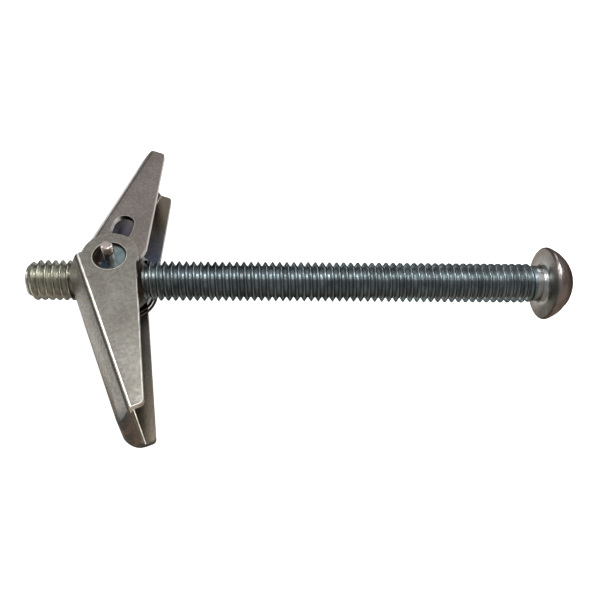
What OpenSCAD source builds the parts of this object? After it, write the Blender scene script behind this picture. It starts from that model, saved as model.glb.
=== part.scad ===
// Spring toggle bolt: a slotted round-head machine screw, a trunnion nut that runs along it,
// two folding sheet-steel wings hinged on the nut, and the torsion spring that spreads them.
// The wings are staggered: each has one ear outside and one inside an ear of the other wing.
// Origin: centre of the screw's end face. +X runs along the screw to its head, +Z along the
// wings' hinge axis. The front wing reaches towards -Y and the rear wing towards +Y.

/* [Screw] */
// Length of the screw under its head
screw_length = 101.6; // [95:0.1:130]
// Diameter over the thread's crests
thread_d = 7.85; // [7.6:0.01:8]
// Length of the chamfer at the screw's end
tip_chamfer = 1.3; // [0.5:0.1:2.5]
// Diameter of the flat end face
tip_d = 5.8; // [4:0.1:7]
// Length of the plain neck under the head
neck_length = 2; // [0.5:0.1:6]
// Diameter of the plain neck
neck_d = 7.1; // [6:0.1:7.6]

/* [Screw head] */
// Diameter of the head
head_d = 14.5; // [13:0.1:17]
// Height of the head
head_height = 5.65; // [4.5:0.05:6.5]
// Height of the straight rim below the dome
head_rim = 0.6; // [0.3:0.1:1]
// Size of the flare between the neck and the head's underside
head_flare = 0.5; // [0.5:0.1:1]
// Width of the driver slot
slot_width = 1.9; // [1.2:0.1:2.6]
// Depth of the driver slot below the top of the dome
slot_depth = 3; // [1.5:0.1:3.4]
// Turn of the driver slot about the screw, from the hinge plane
slot_turn = 5; // [-90:1:90]

/* [Wings] */
// Thickness of the wings' sheet
sheet = 1.1; // [0.9:0.05:1.2]
// Width of each wing over its cheeks
wing_width = 14.65; // [14.4:0.05:16.5]
// Play between the nested ears of the two wings
ear_play = 0.15; // [0.1:0.05:0.3]
// Depth from the hinge axis to the back's outer face
back_depth = 8.3; // [8.1:0.1:8.8]
// Angle that the sheet turns through from a cheek to its bevel
bevel_turn = 56.5; // [54:0.5:58]
// Outer radius of the bends along the cheeks and the back
bend_r = 1.4; // [1.2:0.05:1.6]
// How far the flanged tip leans out at the back
tip_lean = 0.9; // [0:0.1:1.5]
// Radius of the bend between the back and the flanged tip
tip_bend = 1.5; // [0.6:0.1:2.2]
// Radius of the free corner of each cheek
corner_r = 0.9; // [0.3:0.1:1.2]
// Diameter of the ears that lie outside the other wing's
outside_ear_d = 10.6; // [9.5:0.1:11.2]
// How far the bevels beside an inside ear run past the hinge axis
inside_overrun = 1.2; // [0:0.1:1.3]

/* [Front wing] */
// Lean of the spread front wing towards the head
front_lean = 22.5; // [19:0.5:26]
// Reach from the hinge axis to the end of the front wing's cheeks
front_reach = 31.75; // [26:0.05:40]
// How much further the front wing's lower cheek reaches than its upper one
front_skew = 1.3; // [0:0.1:1.5]
// Depth from the hinge axis to the folds between the front wing's cheeks and bevels
front_fold = 5.65; // [5.5:0.05:6.2]
// Depth of the front wing's free edges ahead of the hinge axis
front_heel = 5.1; // [4.2:0.1:5.3]
// Length of the straight heel of the front wing's free edges
front_heel_length = 0.1; // [0:0.1:6]
// Depth of the front wing's cheeks at their tip
front_tip = 2.5; // [1.5:0.1:4]
// How far the front wing's outside bevel runs past the hinge axis
front_overrun = 2.15; // [1:0.05:2.3]

/* [Rear wing] */
// Lean of the spread rear wing towards the head
rear_lean = 20.5; // [18:0.5:24]
// Reach from the hinge axis to the end of the rear wing's cheeks
rear_reach = 29.1; // [25:0.1:36]
// Depth from the hinge axis to the folds between the rear wing's cheeks and bevels
rear_fold = 5.3; // [5.2:0.05:5.8]
// Depth of the rear wing's free edges ahead of the hinge axis
rear_heel = 4.95; // [4.2:0.05:5]
// Length of the straight heel of the rear wing's free edges
rear_heel_length = 5; // [2:0.1:8]
// Depth of the rear wing's cheeks at their tip
rear_tip = 3.05; // [1.5:0.05:4]
// How far the rear wing's outside bevel runs past the hinge axis
rear_overrun = 1.2; // [0:0.1:1.3]
// Width of the long hole in the rear wing's inside cheek
long_hole_w = 4.1; // [2:0.1:4.6]
// Distance from the hinge axis to the near end of the long hole
long_hole_near = 5; // [4.6:0.1:7]
// Distance from the hinge axis to the far end of the long hole
long_hole_far = 11; // [9.5:0.1:13]
// Slant of the long hole towards the back, along the wing
long_hole_slant = 10.5; // [6:0.5:14]

/* [Trunnion nut] */
// Place of the hinge axis along the screw, from its end
nut_place = 16.75; // [12:0.05:40]
// Diameter of the journals that the wings turn on
journal_d = 6.15; // [5:0.05:6.6]
// Height of each journal's shoulder below the outside ear's face
journal_recess = 0.55; // [0.2:0.05:0.8]
// Diameter of the pegs on the journals' ends
peg_d = 2.2; // [1.5:0.1:3]
// Height of the pegs above the outside ear's face
peg_height = 3.15; // [0.5:0.05:4]
// Diameter of the hub that the spring is wound on
hub_d = 6.3; // [6.2:0.05:6.6]
// Metal left between the screw and the seat of the spring
seat_wall = 0.28; // [0.15:0.01:0.35]

/* [Torsion spring] */
// Diameter of the spring wire
wire_d = 0.55; // [0.45:0.01:0.56]
// Mean radius of the coil's last turn
coil_r = 6.1; // [6:0.01:6.12]
// Length of the legs from the coil to their ends
leg_length = 12; // [6:0.1:16]

/* [Clearances] */
// Radial clearance of the wings' holes on the journals
journal_fit = 0.07; // [0.02:0.01:0.1]
// Radial clearance of the nut's bore on the screw
bore_fit = 0.05; // [0.02:0.01:0.1]
// Gap between the nut and the insides of the wings
body_gap = 0.15; // [0.1:0.01:0.2]
// Gap between the screw and the notch in each wing's back
notch_gap = 0.15; // [0.1:0.05:0.4]
// Gap between the spring and what it lies on
wire_gap = 0.04; // [0.02:0.01:0.06]

/* [Hidden] */
$fn = 96;

ZINC = [0.67, 0.68, 0.68];
ZINC_WARM = [0.62, 0.6, 0.57];
SPRING_STEEL = [0.42, 0.41, 0.39];

half_width = wing_width / 2;
// Each wing stands off the middle plane by half a step, so that its ears nest with the other's
stagger = (sheet + ear_play) / 2;
// Heights of the outer faces of the outside and the inside ears
outside_z = half_width + stagger;
inside_z = half_width - stagger;
// Half height of the nut's body, inside the inside ears
body_half = inside_z - sheet - body_gap;
thread_r = thread_d / 2;
bore_r = thread_r + bore_fit;
shoulder_z = outside_z - journal_recess;
seat_z = bore_r + seat_wall;
// Far more than the part's size, for cuts and extrusions that run out of a wing
far = 60;

// Half height of the flat strip along the back of a wing whose cheeks fold at depth fold
function flat_half(fold) = half_width - (back_depth - fold) * tan(bevel_turn);

// The two bends of half a wing's section at a depth d inside its outer faces: [y, z] points
function bends(fold, d) = [
    [-fold + d * tan(bevel_turn / 2), half_width - d],
    [-back_depth + d, flat_half(fold) - d * tan((90 - bevel_turn) / 2)]
];

// Radius of an ear that turns inside a bevel of the other wing, which folds at depth other_fold
function inside_ear_r(other_fold) =
    ear_play / tan(bevel_turn) - ear_play / 3 / sin(bevel_turn) - bends(other_fold, sheet)[0][0];

// An arc of points about a centre, from angle a0 to a1
function arc(centre, r, a0, a1, steps = 8) = [
    for (i = [0:steps]) centre + r * [cos(a0 + (a1 - a0) * i / steps), sin(a0 + (a1 - a0) * i / steps)]
];

// The corner b of an outline a-b-c, rounded with radius r
function round_corner(a, b, c, r, steps = 6) =
    let (u = (a - b) / norm(a - b))
    let (w = (c - b) / norm(c - b))
    let (half = acos(u * w) / 2)
    let (centre = b + (u + w) / norm(u + w) * r / sin(half))
    let (p = b + u * r / tan(half))
    let (q = b + w * r / tan(half))
    let (a0 = atan2(p[1] - centre[1], p[0] - centre[0]))
    let (turn = atan2(q[1] - centre[1], q[0] - centre[0]) - a0)
    let (a1 = a0 + (turn > 180 ? turn - 360 : turn < -180 ? turn + 360 : turn))
    arc(centre, r, a0, a1, steps);

// ---- Wings, in their own frame: x from the hinge axis to the tip, -y to the back ----

// Section of a wing across its length, filled, at a depth d inside its outer faces
module wing_section(fold, d) {
    upper = bends(fold, d);
    lower = [for (p = upper) [p[0], -p[1]]];
    r = max(bend_r - d, bend_r - sheet);
    polygon(concat(
        [[far, half_width - d]],
        round_corner([far, half_width - d], upper[0], upper[1], r),
        round_corner(upper[0], upper[1], lower[1], r),
        round_corner(upper[1], lower[1], lower[0], r),
        round_corner(lower[1], lower[0], [far, -half_width + d], r),
        [[far, -half_width + d]]
    ));
}

// A wing's section run along its length
module section_run(fold, d) {
    rotate([90, 0, 90])
        translate([0, 0, -far])
            linear_extrude(2 * far)
                wing_section(fold, d);
}

// Side outline of a wing without its ear: back, flanged tip and tapering free edge
module wing_outline(reach, fold, heel, heel_length, tip, overrun) {
    heel_r = back_depth - fold;
    root = [reach + tip_lean, -back_depth];
    tip_fold = [reach, -fold];
    tip_free = [reach, tip - fold];
    polygon(concat(
        [[-overrun, 0]],
        arc([heel_r - overrun, -fold], heel_r, 180, 270),
        round_corner([0, -back_depth], root, tip_fold, tip_bend),
        [tip_fold],
        round_corner(tip_fold, tip_free, [heel_length, heel], corner_r),
        [[heel_length, heel], [0, heel]]
    ));
}

// What is open inside a wing, seen from the side: all but the back and the flanged tip
module hollow_outline(reach, fold) {
    inner_back = -back_depth + sheet;
    slope = tip_lean / (back_depth - fold);
    inset = sheet * sqrt(1 + slope * slope);
    root = [reach + slope * (-fold - inner_back) - inset, inner_back];
    edge = [reach - inset, -fold];
    polygon(concat(
        [[-far, inner_back]],
        round_corner([0, inner_back], root, edge, max(tip_bend - sheet, 0.3)),
        [edge, [far, -fold], [far, far], [-far, far]]
    ));
}

// Notch in the back that lets the screw through when the wing is spread
module screw_notch(lean) {
    half = thread_r + notch_gap;
    inner_back = back_depth - sheet;
    edge = (half - inner_back * sin(lean)) / cos(lean);
    translate([edge - far, -far - inner_back / 2, -half])
        cube([far, far, 2 * half]);
}

// Turns an outline's run so that a wing's lower cheek reaches further than its upper one
module skewed(skew) {
    rotate([0, -asin(skew / wing_width), 0])
        children();
}

// A whole wing with its outside ear on top, about its hinge axis
module wing(lean, reach, fold, other_fold, heel, heel_length, tip, overrun, skew = 0) {
    ear_r = inside_ear_r(other_fold);
    difference() {
        translate([0, 0, stagger])
            difference() {
                intersection() {
                    section_run(fold, 0);
                    union() {
                        linear_extrude(half_width)
                            circle(d = outside_ear_d);
                        translate([0, 0, -half_width])
                            linear_extrude(half_width)
                                circle(r = ear_r);
                        skewed(skew) {
                            linear_extrude(far)
                                wing_outline(reach, fold, heel, heel_length, tip, overrun);
                            translate([0, 0, -far])
                                linear_extrude(far)
                                    intersection() {
                                        wing_outline(reach, fold, heel, heel_length, tip, inside_overrun);
                                        translate([-far, -far])
                                            square([2 * far, far + ear_r]);
                                    }
                        }
                    }
                }
                intersection() {
                    section_run(fold, sheet);
                    skewed(skew)
                        translate([0, 0, -far])
                            linear_extrude(2 * far)
                                hollow_outline(reach, fold);
                }
            }
        screw_notch(lean);
        cylinder(h = 2 * wing_width, d = journal_d + 2 * journal_fit, center = true);
    }
}

// Long hole through the inside cheek, on a line from the hinge axis
module long_hole() {
    near = long_hole_near + long_hole_w / 2;
    length = long_hole_far - long_hole_near - long_hole_w;
    rotate([0, 0, -long_hole_slant])
        translate([near, 0, -wing_width]) {
            cylinder(h = wing_width, d = long_hole_w);
            translate([length, 0, 0])
                cylinder(h = wing_width, d = long_hole_w);
            translate([0, -long_hole_w / 2, 0])
                cube([length, long_hole_w, wing_width]);
        }
}

// Puts a wing's own frame at its spread place on the nut, towards -Y
module spread(lean) {
    translate([nut_place, 0, 0])
        rotate([0, 0, lean - 90])
            children();
}

module front_wing() {
    color(ZINC_WARM)
        spread(front_lean)
            wing(front_lean, front_reach, front_fold, rear_fold, front_heel, front_heel_length, front_tip,
                front_overrun, front_skew);
}

// The rear wing is turned over, so its inside ear is on top
module rear_wing() {
    color(ZINC_WARM)
        rotate([180, 0, 0])
            spread(rear_lean)
                difference() {
                    wing(rear_lean, rear_reach, rear_fold, front_fold, rear_heel, rear_heel_length, rear_tip,
                        rear_overrun);
                    long_hole();
                }
}

// ---- Trunnion nut, about its hinge axis ----

module trunnion_nut() {
    // The body keeps body_gap inside the backs and bevels of both wings
    bevel = bends(min(front_fold, rear_fold), sheet + body_gap);
    body_r = -bevel[1][0];
    body_z = bevel[1][1] - stagger;
    end_r = body_r - (body_half - body_z) / tan(bevel_turn);
    seat_r = body_r - (seat_z - body_z) / tan(bevel_turn);
    peg_end = outside_z + peg_height;
    peg_r = peg_d / 2;
    peg_chamfer = peg_r / 5;
    color(ZINC)
        translate([nut_place, 0, 0])
            difference() {
                rotate_extrude()
                    polygon([
                        [0, -peg_end],
                        [peg_r - peg_chamfer, -peg_end],
                        [peg_r, -peg_end + peg_chamfer],
                        [peg_r, -shoulder_z],
                        [journal_d / 2, -shoulder_z],
                        [journal_d / 2, -body_half],
                        [hub_d / 2, -body_half],
                        [hub_d / 2, -seat_z],
                        [seat_r, -seat_z],
                        [body_r, -body_z],
                        [body_r, body_z],
                        [end_r, body_half],
                        [journal_d / 2, body_half],
                        [journal_d / 2, shoulder_z],
                        [peg_r, shoulder_z],
                        [peg_r, peg_end - peg_chamfer],
                        [peg_r - peg_chamfer, peg_end],
                        [0, peg_end]
                    ]);
                rotate([0, 90, 0])
                    cylinder(h = 3 * body_r, r = bore_r, center = true);
            }
}

// ---- Machine screw ----

module machine_screw() {
    head_r = head_d / 2;
    dome_h = head_height - head_rim;
    dome_r = (head_r * head_r + dome_h * dome_h) / (2 * dome_h);
    rim_angle = asin(head_r / dome_r);
    color(ZINC)
        difference() {
            rotate([0, 90, 0])
                rotate_extrude()
                    union() {
                        polygon([
                            [0, 0],
                            [tip_d / 2, 0],
                            [thread_r, tip_chamfer],
                            [thread_r, screw_length - neck_length],
                            [neck_d / 2, screw_length - neck_length],
                            [neck_d / 2, screw_length - head_flare],
                            [neck_d / 2 + head_flare, screw_length],
                            [head_r, screw_length],
                            [head_r, screw_length + head_rim],
                            [0, screw_length + head_rim]
                        ]);
                        translate([0, screw_length + head_height - dome_r])
                            intersection() {
                                circle(r = dome_r);
                                translate([0, dome_r * cos(rim_angle) - head_rim / 2])
                                    square([head_r, head_height]);
                            }
                    }
            rotate([slot_turn, 0, 0])
                translate([screw_length + head_height - slot_depth, -head_d, -slot_width / 2])
                    cube([head_height, 2 * head_d, slot_width]);
        }
}

// ---- Torsion spring, wound out from the nut's lower hub with a leg in each wing ----

// The coil runs from the rear wing's leg round and out to the front wing's leg
leg_out = 180 - rear_lean;
coil_turn = 720 + rear_lean + front_lean;
coil_steps = 64;
// Its turns lie side by side, below the rear wing's leg that crosses them
first_r = coil_r - (wire_d + wire_gap) * coil_turn / 360;
coil_drop = 0.35;
// The loaded coil bears on the hub on the back's side, so it sits off centre towards the head
coil_shift = first_r - wire_d / 2 - hub_d / 2 - wire_gap;
coil_top = -seat_z - wire_d / 2 - wire_gap;
coil_low = -(inside_z - sheet) + wire_d / 2 + wire_gap;

// End of a leg at height z off a wing's middle, just inside the bevel that it presses on
function leg_end(fold, z) =
    let (fold_bend = bends(fold, sheet)[0])
    let (rise = (fold_bend[1] - abs(z)) / tan(bevel_turn))
    [leg_length, fold_bend[0] - rise + (wire_d / 2 + wire_gap) / sin(bevel_turn)];

// From a wing's own frame to the hinge axis: side is -1 for the front and 1 for the rear wing
function to_nut(p, lean, side) = [
    p[0] * sin(lean) + p[1] * cos(lean),
    side * (p[0] * cos(lean) - p[1] * sin(lean))
];

function coil_point(t) =
    let (a = leg_out + coil_turn * t)
    let (r = first_r + (coil_r - first_r) * t)
    [coil_shift + r * cos(a), r * sin(a), coil_top + (coil_low - coil_top) * min(t / coil_drop, 1)];

function with_z(p, z) = [p[0], p[1], z];

spring_path = concat(
    [with_z(to_nut(leg_end(rear_fold, coil_top + stagger), rear_lean, 1), coil_top)],
    [for (i = [0:coil_steps]) coil_point(i / coil_steps)],
    [with_z(to_nut(leg_end(front_fold, coil_low - stagger), front_lean, -1), coil_low)]
);

// Level direction of a path at its point i
function heading(path, i) =
    let (last = len(path) - 1)
    let (d = path[min(i + 1, last)] - path[max(i - 1, 0)])
    atan2(d[1], d[0]);

// A round wire swept along a nearly level path
module wire(path, r, sides = 8) {
    rings = len(path);
    points = [
        for (i = [0:rings - 1])
            let (h = heading(path, i))
            for (k = [0:sides - 1])
                let (a = 360 * k / sides)
                path[i] + r * [-sin(h) * cos(a), cos(h) * cos(a), sin(a)]
    ];
    faces = concat(
        [[for (k = [0:sides - 1]) k]],
        [
            for (i = [0:rings - 2])
                for (k = [0:sides - 1])
                    let (n = (k + 1) % sides)
                    [i * sides + k, (i + 1) * sides + k, (i + 1) * sides + n, i * sides + n]
        ],
        [[for (k = [sides - 1:-1:0]) (rings - 1) * sides + k]]
    );
    polyhedron(points, faces, convexity = 4);
}

module torsion_spring() {
    color(SPRING_STEEL)
        translate([nut_place, 0, 0])
            wire(spring_path, wire_d / 2);
}

machine_screw();
trunnion_nut();
front_wing();
rear_wing();
torsion_spring();
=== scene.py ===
"""Spring toggle bolt: its screw, nut, two wings and spring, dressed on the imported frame."""

import logging
import math
from dataclasses import dataclass
from enum import Enum
from functools import partial
from typing import Any, Callable, Sequence

import bmesh
import bpy
from bmesh.types import BMEdge, BMesh, BMFace, BMVert
from bpy.types import Material, NodeSocket, NodeTree, Object
from mathutils import Matrix, Vector
from mathutils.bvhtree import BVHTree


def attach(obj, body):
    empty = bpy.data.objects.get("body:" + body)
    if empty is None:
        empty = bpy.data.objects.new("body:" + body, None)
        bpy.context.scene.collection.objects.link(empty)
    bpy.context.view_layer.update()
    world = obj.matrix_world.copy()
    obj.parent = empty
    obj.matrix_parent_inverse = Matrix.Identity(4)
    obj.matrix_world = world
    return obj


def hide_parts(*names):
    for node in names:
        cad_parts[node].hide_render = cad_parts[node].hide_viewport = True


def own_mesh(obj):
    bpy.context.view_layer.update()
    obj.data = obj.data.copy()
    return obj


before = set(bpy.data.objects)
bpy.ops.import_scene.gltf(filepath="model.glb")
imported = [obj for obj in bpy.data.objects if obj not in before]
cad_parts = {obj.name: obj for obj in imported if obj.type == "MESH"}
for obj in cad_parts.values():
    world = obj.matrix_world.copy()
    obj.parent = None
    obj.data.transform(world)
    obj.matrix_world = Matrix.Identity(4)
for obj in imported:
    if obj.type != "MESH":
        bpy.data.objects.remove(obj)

Point = tuple[float, float, float]
Profile = list[tuple[float, float]]
Line = Sequence[tuple[float, float]]
Stops = Sequence[tuple[float, str]]

LOG = logging.getLogger("spring_toggle_bolt")
MM = 0.001
HINGE_MM = 16.75  # how far along the screw the wings' hinge axis stands
FRONT_LEAN = 22.5  # degrees that the front wing leans towards the head
REAR_LEAN = 20.5  # and the rear one
SCREW_MM = 101.6  # length of the screw under its head
WHITE = "#FFFFFF"


class Body(Enum):
    """The bodies of the frame that the pieces ride on."""

    SCREW = "screw"
    NUT = "nut"
    FRONT = "front"
    REAR = "rear"


class Slot(Enum):
    """The names of the material slots."""

    SCREW_ZINC = "screw_zinc"
    NUT_ZINC = "nut_zinc"
    WING_ZINC = "wing_zinc"
    SPRING_STEEL = "spring_steel"


class Kind(Enum):
    """The kinds of shader node that the finishes and the light are made of."""

    ATTRIBUTE = "ShaderNodeAttribute"
    BUMP = "ShaderNodeBump"
    COORDINATES = "ShaderNodeTexCoord"
    EMISSION = "ShaderNodeEmission"
    LIGHT_PATH = "ShaderNodeLightPath"
    MAPPING = "ShaderNodeMapping"
    MATH = "ShaderNodeMath"
    MIX = "ShaderNodeMix"
    NOISE = "ShaderNodeTexNoise"
    RAMP = "ShaderNodeValToRGB"
    RANGE = "ShaderNodeMapRange"
    SPLIT = "ShaderNodeSeparateXYZ"
    VECTOR_MATH = "ShaderNodeVectorMath"


# ---- Material nodes ----

# A mix of colours has its sockets at these places, because their names aren't unique
FACTOR, FIRST, SECOND, MIXED = 0, 6, 7, 2


def srgb(hex_colour: str) -> tuple[float, float, float, float]:
    """Turns a written colour into the linear one that Blender mixes with.

    Args:
        hex_colour: An sRGB colour such as "#A6A29B".

    Returns:
        Linear red, green, blue and an alpha of 1.
    """
    raw = [int(hex_colour[i : i + 2], 16) / 255 for i in (1, 3, 5)]
    red, green, blue = (v / 12.92 if v <= 0.04045 else ((v + 0.055) / 1.055) ** 2.4 for v in raw)
    return (red, green, blue, 1.0)


def add_node(
    tree: NodeTree,
    kind: Kind,
    links: dict[str | int, Any] | None = None,
    out: str | int = 0,
    stops: Stops = (),
    **settings: Any,
) -> NodeSocket:
    """Adds a node with its settings, and fills or links its inputs.

    Args:
        tree: The node tree that gets the node.
        kind: What kind of node it is.
        links: What goes into each input: an output's socket, a written colour or another value.
        out: The output that is wanted.
        stops: A colour ramp's pairs of a place from 0 to 1 and a written colour, in order.
        settings: Attributes of the node itself.

    Returns:
        The wanted output's socket.
    """
    node = tree.nodes.new(kind.value)
    for name, value in settings.items():
        setattr(node, name, value)
    for name, value in (links or {}).items():
        if isinstance(value, NodeSocket):
            tree.links.new(value, node.inputs[name])
        else:
            node.inputs[name].default_value = srgb(value) if isinstance(value, str) else value
    if stops:
        elements = node.color_ramp.elements
        while len(elements) < len(stops):
            elements.new(0.5)
        for element, (place, colour) in zip(elements, stops):
            element.position = place
            element.color = srgb(colour)
    return node.outputs[out]


class Surface:
    """A metal's material while it is made, with the place on the piece in millimetres."""

    def __init__(self, name: str, edge: str = WHITE) -> None:
        """Starts the material.

        Args:
            name: The material's name, which says what the finish is.
            edge: The colour that its mirror takes at a glancing angle.
        """
        self.material = bpy.data.materials.new(name)
        self.material.use_nodes = True
        self.tree = self.material.node_tree
        self.add: Callable[..., NodeSocket] = partial(add_node, self.tree)
        self.shader = self.tree.nodes["Principled BSDF"]
        self.shader.inputs["Metallic"].default_value = 1.0
        self.shader.inputs["Specular Tint"].default_value = srgb(edge)
        place = self.add(Kind.COORDINATES, out="Object")
        self.place = self.add(Kind.MAPPING, {"Vector": place, "Scale": (1 / MM,) * 3})
        self.axes = self.add(Kind.SPLIT, {"Vector": self.place}).node.outputs

    def from_axis(self, across: Point, along_mm: float = 0.0) -> NodeSocket:
        """Measures how far a place is from an axis of the part, in millimetres.

        Args:
            across: 0 for the direction that the axis follows and 1 for the other two.
            along_mm: How far along the screw the axis stands.

        Returns:
            The distance's socket.
        """
        offset = {0: self.place, 1: (along_mm, 0.0, 0.0)}
        shifted = self.add(Kind.VECTOR_MATH, offset, operation="SUBTRACT")
        flat = self.add(Kind.VECTOR_MATH, {0: shifted, 1: across}, operation="MULTIPLY")
        return self.add(Kind.VECTOR_MATH, {0: flat}, "Value", operation="LENGTH")

    def mottled(self, base: NodeSocket, size_mm: float, detail: float, stops: Stops) -> NodeSocket:
        """Darkens a colour in soft patches.

        Args:
            base: The colour.
            size_mm: The patches' size in millimetres.
            detail: How finely broken their edges are.
            stops: What the patches multiply the colour by, from the darkest to the lightest.

        Returns:
            The uneven colour's socket.
        """
        links = {"Vector": self.place, "Scale": 1 / size_mm, "Detail": detail}
        patches = self.add(Kind.RAMP, {"Fac": self.add(Kind.NOISE, links)}, stops=stops)
        links = {FACTOR: 1.0, FIRST: base, SECOND: patches}
        return self.add(Kind.MIX, links, MIXED, data_type="RGBA", blend_type="MULTIPLY")

    def finished(
        self,
        colour: NodeSocket,
        rough: NodeSocket,
        height: NodeSocket,
        relief: NodeSocket | float,
        depth_mm: float,
    ) -> Material:
        """Joins what the finish is made of to the shader.

        Args:
            colour: The base colour.
            rough: The roughness.
            height: The pattern that the surface rises and falls with.
            relief: How much of that relief shows, from 0 to 1.
            depth_mm: The relief's depth in millimetres.

        Returns:
            The finished material.
        """
        links = {"Height": height, "Strength": relief, "Distance": depth_mm * MM}
        bump = self.add(Kind.BUMP, links)
        for name, socket in (("Base Color", colour), ("Roughness", rough), ("Normal", bump)):
            self.tree.links.new(socket, self.shader.inputs[name])
        return self.material


# ---- Finishes ----


@dataclass(frozen=True)
class ZincSheet:
    """Bright zinc plate with a clear passivation on rolled steel sheet.

    It gives the eye a warm grey, satin metal. Rolling left a fine grain, and the bath left soft
    stains of brown and blue. It is darker at the nose, the channel's inside is painted darker as
    shade, and the rims and the channel's foot bend are painted bright as a highlight.
    """

    name: str
    light: str
    dark: str
    stain: str
    # the channel's inside takes these colours as painted shade, near the screw and towards the tip
    inside_root: str
    inside_tip: str
    # the colour of the rims' painted highlight
    rim: str
    far_highlight: float  # how bright the rims' painted highlight is far from the hinge
    roughness: float = 0.25
    # painted shade deep in the channel's root
    deep_shade: str = "#332E33"
    nose_warm: str = "#94847A"
    nose_cold: str = "#666C6C"
    nose_mm: tuple[float, float] = (30.0, 32.0)  # the nose darkens over this reach from the screw
    tip_mm: tuple[float, float] = (9.0, 20.0)  # the inside changes colour over this reach
    deep_mm: tuple[float, float] = (15.1, 20.0)  # deeper in than this along the screw it takes the deep painted shade
    far_mm: tuple[float, float] = (10.5, 13.0)  # the rims' painted highlight changes over this distance
    grain_mm: float = 0.12  # the real grain is about 0.03 mm, drawn coarser so that it shows
    mottle_mm: float = 0.55
    nose_patch_mm: float = 2.5
    stain_mm: float = 5.0
    drift_mm: float = 8.333
    highlight_patch_mm: float = 1.667
    dent_mm: float = 0.8333
    uneven: float = 0.12  # how much the grain changes the roughness
    grain_share: float = 0.35  # how high the grain is beside the dents
    relief: float = 0.3
    inside_relief: float = 0.08
    relief_mm: float = 0.06

    def skin(self, surface: Surface, away: NodeSocket) -> NodeSocket:
        """Makes the outside's colour: uneven, softly stained plating and a darker nose.

        Args:
            surface: The material while it is made.
            away: How far the place is from the screw's axis along Y, in millimetres.

        Returns:
            The colour's socket.
        """
        add, place = surface.add, surface.place
        cloud = add(Kind.NOISE, {"Vector": place, "Scale": 1 / self.stain_mm, "Detail": 4.0})
        plate = add(Kind.RAMP, {"Fac": cloud}, stops=[(0.35, self.dark), (0.65, self.light)])
        drift = add(Kind.NOISE, {"Vector": place, "Scale": 1 / self.drift_mm, "Detail": 1.0})
        stained = add(
            Kind.RANGE, {"Value": drift, "From Min": 0.5, "From Max": 0.75, "To Max": 0.45}
        )
        links = {FACTOR: stained, FIRST: plate, SECOND: self.stain}
        plate = add(Kind.MIX, links, MIXED, data_type="RGBA")
        patch = add(Kind.NOISE, {"Vector": place, "Scale": 1 / self.nose_patch_mm})
        stops = [(0.42, self.nose_cold), (0.58, self.nose_warm)]
        nose = add(Kind.RAMP, {"Fac": patch}, stops=stops)
        start, end = self.nose_mm
        drawn = add(Kind.RANGE, {"Value": away, "From Min": start, "From Max": end})
        links = {FACTOR: drawn, FIRST: plate, SECOND: nose}
        plate = add(Kind.MIX, links, MIXED, data_type="RGBA")
        stops = [(0.35, "#E2E2E2"), (0.65, WHITE)]
        return surface.mottled(plate, self.mottle_mm, 3.0, stops)

    def inside(self, surface: Surface, away: NodeSocket) -> NodeSocket:
        """Makes the channel's colour, painted as shade and darkest deep in its root.

        Args:
            surface: The material while it is made.
            away: How far the place is from the screw's axis along Y, in millimetres.

        Returns:
            The colour's socket.
        """
        add = surface.add
        start, end = self.tip_mm
        outward = add(Kind.RANGE, {"Value": away, "From Min": start, "From Max": end})
        links = {FACTOR: outward, FIRST: self.inside_root, SECOND: self.inside_tip}
        run = add(Kind.MIX, links, MIXED, data_type="RGBA")
        start, end = self.deep_mm
        out_of_deep_shade = add(Kind.RANGE, {"Value": surface.axes["X"], "From Min": start, "From Max": end})
        links = {FACTOR: out_of_deep_shade, FIRST: self.deep_shade, SECOND: run}
        return add(Kind.MIX, links, MIXED, data_type="RGBA")

    def painted_rim_highlight(self, surface: Surface) -> NodeSocket:
        """Makes how bright the rims' painted highlight is: most on the cheek and the hole, least on
        the ear.

        Args:
            surface: The material while it is made.

        Returns:
            The painted highlight's socket, from 0 to 1.
        """
        add = surface.add
        radius = surface.from_axis((1, 1, 0), HINGE_MM)
        # the ramp reads centimetres, so that it spans the hole, the ear and the cheek
        reach = add(Kind.MATH, {0: radius, 1: 0.1}, operation="MULTIPLY")
        stops = [(0.42, "#E8E8E8"), (0.46, "#6C6C6C"), (0.62, "#6C6C6C"), (0.8, WHITE)]
        by_place = add(Kind.RAMP, {"Fac": reach}, stops=stops)
        cloud = add(
            Kind.NOISE, {"Vector": surface.place, "Scale": 1 / self.highlight_patch_mm, "Detail": 3.0}
        )
        links = {"Value": cloud, "From Min": 0.35, "From Max": 0.6, "To Min": 0.45}
        patches = add(Kind.RANGE, links)
        start, end = self.far_mm
        links = {"Value": radius, "From Min": start, "From Max": end, "To Min": 1.0}
        far = add(Kind.RANGE, links | {"To Max": self.far_highlight})
        painted_rim_highlight = add(Kind.ATTRIBUTE, out="Fac", attribute_name="rim")
        for share in (by_place, patches, far):
            painted_rim_highlight = add(Kind.MATH, {0: painted_rim_highlight, 1: share}, operation="MULTIPLY")
        return painted_rim_highlight

    def material(self) -> Material:
        """Makes the material.

        Returns:
            The finished material.
        """
        surface = Surface(self.name)
        add, place = surface.add, surface.place
        away = add(Kind.MATH, {0: surface.axes["Y"]}, operation="ABSOLUTE")
        within = add(Kind.ATTRIBUTE, out="Fac", attribute_name="inside")
        # the channel's inside takes a painted shade colour
        outer, inner = self.skin(surface, away), self.inside(surface, away)
        links = {FACTOR: within, FIRST: outer, SECOND: inner}
        colour = add(Kind.MIX, links, MIXED, data_type="RGBA")
        # the rims are painted bright as a highlight
        links = {FACTOR: self.painted_rim_highlight(surface), FIRST: colour, SECOND: self.rim}
        colour = add(Kind.MIX, links, MIXED, data_type="RGBA")
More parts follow.
